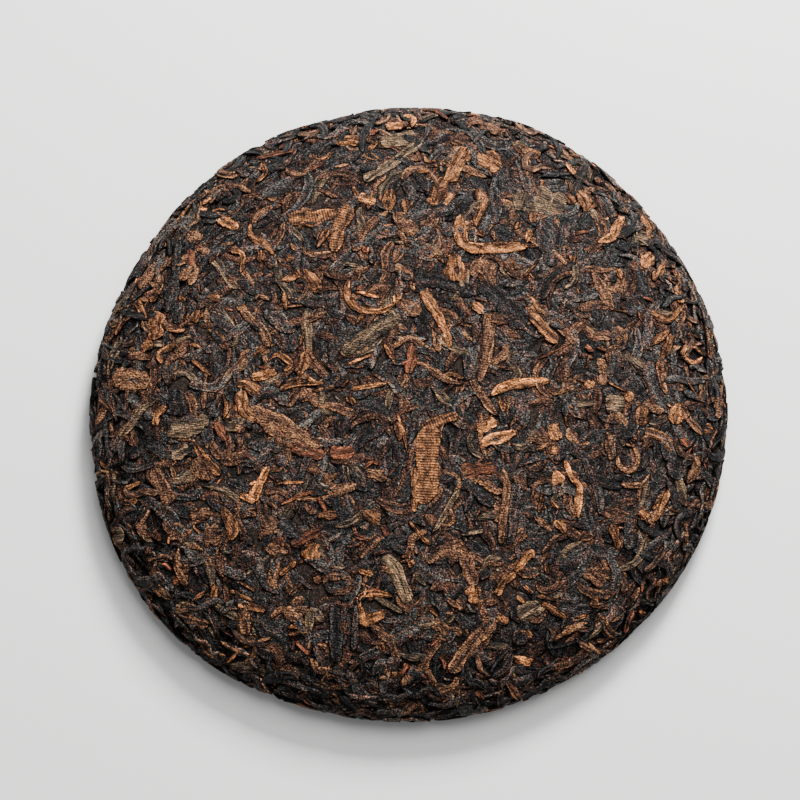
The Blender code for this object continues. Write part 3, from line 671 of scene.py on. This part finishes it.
place("red_stems", "red", 14, (
    (3, 1,15, 0,6), (2, -2,9, 0.5,10), (1.2, -21,2, -18.5,4), (1, 40,11, 50,16),
    (4.4, -24,-20.5, -17,-18.5), (1.6, -39.5,-35.5, -29,-31), (1.4, -27.5,-33, -25.5,-38),
    (1.3, -14,-24.5, -11.5,-22.3, -9,-22.8), (1.2, -6.5,-27, -4.5,-24), (1, -8,-42, -4,-37.5),
    (2, -8,-42, -7,-45.5), (2, -17,-45, -12,-46.5), (0.8, 23,-32.5, 25.5,-35), (3.5, -69.5,49, -68,43.5),
    (2, -49.5,81, -36.5,83), (2.5, -13.5,48, -13.5,46), (1.5, 8,98.5, 12.5,94.5), (1.5, 52.5,53.5, 57,54.5),
    (2, 55,15.5, 57.5,14), (1.2, 83,43, 85,41.5), (2.5, -60,-9, -56.5,-15), (3, -77,-43, -78,-45),
    (1.2, 80,-34.5, 83.5,-36), (1.3, 91.5,-19.5, 93.5,-23.5, 96,-24), (3, 84.5,-13, 87,-15),
    (3, -72.5,-57.5, -70.5,-57.5), (1.5, -65,-75, -62,-77), (1, -58,-72.5, -54,-75.5),
    (1.5, -14.5,-60, -9.5,-62.5), (2, -34.5,-93, -31,-91.5), (3, -40,-45.5, -40,-48.5),
    (1.5, -34.5,-77.5, -30.5,-81), (2, -0.5,-84, -2.5,-87.5), (1.5, 10,-81.5, 11,-85.5),
    (1.5, 4,-87, 5.5,-88), (2, 20.5,-92, 23,-94), (2, 45,-84, 46.5,-85), (2, 46.5,-82, 48.5,-82),
    (2, 69,-66.5, 67.5,-70, 66,-73), (4.2, -36,-17.5, -26,-20), (3.4, 16,-25, 27,-24),
    (3, -36,-48, -27,-43.5), (3, -12,90, -12,88),
), (0.34, 0.56), blunt=(3, 8))

# Mid-brown leaves, larger than the buds and steamed and pressed with them. Many are
# folded or striped along their length.

place("brown_folds", "brown", 15, (
    (3.5, -45,-11, -35,-16, -30,-18), (4.8, -50,-5, -38,-11, -27,-17), (4.4, 24,26, 25,18, 22,3),
    (3, 20,-27, 29,-32), (2.6, 29,-24, 29.8,-32, 28,-48), (2.5, -50.2,68, -55,71, -61,70, -63,65),
    (4, -70,55, -65.5,52.5), (3, -67,50, -63,47.5), (3.5, -72,38.5, -68,42.5, -68.5,36.5),
    (4, -80.5,45, -85,37), (4, -4,56, 3,53.5), (2.5, -4,60, -4,56), (2, -29,69, -22.5,65.5),
    (5, 23,92, 29,91), (1.5, 26,54, 27.5,50.5), (2.5, 69.5,67, 69,62), (3.5, 57.5,41.5, 64,28),
    (8, -93,6.5, -81,6), (1.2, -94.5,16, -93.5,3, -91,-7), (2, -63,7, -64,-5),
    (2.5, -88.5,14, -84.5,14, -80.5,12.5), (3, 97,2, 96.5,-5), (2, 93.5,26, 95,14),
    (6.5, -65,-19.5, -61,-27), (4, -79,-23, -76.5,-28, -74.5,-34.5), (4, -67.5,-38.5, -61,-37),
    (5.5, -63,-44.5, -58,-44.5), (1.5, -94,-30, -93,-38), (1.8, 65.5,-28.5, 73,-28.5),
    (3, 61.5,-12, 62.5,-21), (1.5, 85.5,-39, 86,-46.5), (1, 67,-15.5, 70,-16.5), (3, -69,-69, -61.5,-71.5),
    (2.5, -79.5,-58.5, -73,-63), (3, -69.5,-54.5, -67.5,-54.5), (4, -44,-49, -37,-50),
    (4, -38,-67.5, -34,-71), (2.5, -29.5,-82, -28,-85.5, -23.5,-86), (1.8, -45.5,-87.5, -42.5,-93),
    (1.5, -28.5,-78, -25,-79), (1.5, -11.5,-78, -7.5,-78), (4, -50.5,-66, -49.5,-75),
    (3, 16.5,-47, 10.5,-50, 6,-54), (8, 11,-51, 16,-50), (4, 16,-50.5, 18.5,-56, 20,-61),
    (1.8, 11,-64.5, 16.5,-68), (2, 11.5,-69, 13.5,-69), (5, 26,-71, 19,-78, 12.5,-86.5),
    (2.5, 29,-88, 34.5,-94), (2, 52,-77, 59,-79.5), (5, 54.5,-55, 59.5,-60),
    (2.5, 59,-69, 61.5,-73, 64,-74.5), (4, -2,30, 3,25),
), (0.42, 0.56), blunt=(1.6, 5))

# Near-black leaves that show as dark places on the face, and greyish olive leaves with
# strong streaks along them. Both lie a little lower than the buds.

place("black_folds", "dark", 16, (
    (4.6, 2,37, 10,36, 20,32), (4.5, -37,31, -22.5,29.5), (6, 22,36, 36,22), (4.8, 11,-21, 17,-28, 26,-36),
    (4.2, -22.5,-66, -22.5,-75, -22,-83.5), (6.5, -73,56.5, -65,61), (3.5, -73,53, -74,38, -76,28),
    (4, -55,78, -50.5,75), (6, -49,66.5, -36,72), (4, -15.5,76, -10,76), (4.5, -2,58, 14.5,62),
    (5, 27,69, 27,56), (8, 44,58, 45,42), (5, 70,60, 74,57), (7, 68,30, 74,30), (6, -72,2, -73,-6),
    (7, -90,-36.5, -84,-36.5), (6, 82,-17, 83,-26), (4, -40,-41, -33,-46),
    (2.5, 31.5,-80.5, 29,-85, 25,-87.3, 20.5,-85), (1.5, 18.5,-74.5, 23,-71.5), (6, 46,-66, 52,-66),
    (6, 46,-54, 53,-54), (3, 52.5,-26, 65.5,-29.5), (3.5, 96.5,15, 99.5,15),
), (0.16, 0.34), (-0.1, 0.03))
place("olive_folds", "olive", 17, (
    (4.6, -3,25.5, -12,19, -20,12.5), (4, 4,85, -5,78, -14,71), (5, -9,86, 2,87), (4.5, 36,68, 35,61),
    (8, 40,67, 49.5,63), (5, 72,54, 76,54), (6, 61,-3, 67,-3), (4, -63.5,-9.5, -75,-12.5),
    (4, -62,-8, -74,-10), (3.5, -68,-17, -73.5,-19.5), (4.2, -8,-52, -4,-56, -0.5,-66),
    (5.5, 40,-66, 33.5,-70), (5, -93,-42, -88,-43), (1.5, 16,-45, 23,-43.5), (1, -19,-23.5, -18,-29.5),
), (0.42, 0.62), (-0.1, 0.03))

# The back: the same leaf pressed against the flat stone, with the hollow that the
# cloth's knot leaves in the middle and the folds of the gathered cloth round it.

BACK_REACH = 93 * MM
scatter("back_base", "dark", 21, 620, (13, 25), (3.5, 7.5), (-0.45, -0.15), (0.2, 0.46), rings=7,
        reach=BACK_REACH, back=True)
scatter("back_brown", "brown", 22, 260, (9, 19), (2.4, 5), (-0.3, -0.05), (0.3, 0.6), rings=8,
        reach=BACK_REACH, back=True)
scatter("back_strips", "dark", 23, 480, (4, 11), (0.9, 2.4), (-0.3, 0.0), (0.15, 0.6), rings=7, form=SMALL,
        reach=BACK_REACH, back=True)
scatter("back_gold", "gold", 24, 170, (4, 15), (0.9, 3.2), (-0.3, 0.0), (0.42, 0.7), rings=7, form=SMALL,
        reach=BACK_REACH, back=True)
scatter("back_red", "red", 25, 90, (3, 10), (0.8, 1.9), (-0.3, 0.0), (0.25, 0.7), rings=7, form=SMALL,
        reach=BACK_REACH, back=True)

# The plain pale floor, the soft studio light from behind and above, and the camera,
# which looks down on the cake from a little to the near side.

floor_mesh = bmesh.new()
bmesh.ops.create_grid(floor_mesh, x_segments=1, y_segments=1, size=3.0)
floor_data = bpy.data.meshes.new("floor")
floor_mesh.to_mesh(floor_data)
floor_mesh.free()
floor = bpy.data.objects.new("floor", floor_data)
bpy.context.scene.collection.objects.link(floor)
pale = bpy.data.materials.new("pale_floor")
pale.use_nodes = True
pale.node_tree.nodes["Principled BSDF"].inputs["Base Color"].default_value = (0.96, 0.955, 0.94, 1)
pale.node_tree.nodes["Principled BSDF"].inputs["Roughness"].default_value = 0.9
floor_data.materials.append(pale)


def soft_box(name, spot, target, size, power):
    """A square soft light that faces a point."""
    light = bpy.data.lights.new(name, 'AREA')
    light.shape = 'SQUARE'
    light.size = size
    light.energy = power
    lamp = bpy.data.objects.new(name, light)
    lamp.location = spot
    lamp.rotation_euler = (Vector(target) - Vector(spot)).to_track_quat('-Z', 'Y').to_euler()
    bpy.context.scene.collection.objects.link(lamp)


soft_box("key_light", (0.24, 0.68, 0.52), (0, 0, 0.01), 0.28, 22)
soft_box("fill_light", (0.3, 0.35, 1.1), (0, 0, 0.01), 0.9, 10)
world = bpy.data.worlds.new("studio")
world.use_nodes = True
world.node_tree.nodes["Background"].inputs[0].default_value = (0.96, 0.98, 1, 1)
world.node_tree.nodes["Background"].inputs[1].default_value = 0.3
bpy.context.scene.world = world

CAMERA_TILT = math.radians(16)
CAMERA_DISTANCE = 1.0
AIM = Vector((0, 0, 0.010))
AIM_SHIFT = (8.75 / 800, 4.02 / 800)
camera_data = bpy.data.cameras.new("camera")
camera_data.lens = 143.57
camera_data.sensor_width = 36
camera_data.shift_x = -AIM_SHIFT[0]
camera_data.shift_y = AIM_SHIFT[1]
camera = bpy.data.objects.new("camera", camera_data)
camera.location = AIM + Vector((0, -math.sin(CAMERA_TILT), math.cos(CAMERA_TILT))) * CAMERA_DISTANCE
camera.rotation_euler = (CAMERA_TILT, 0, 0)
bpy.context.scene.collection.objects.link(camera)
bpy.context.scene.camera = camera
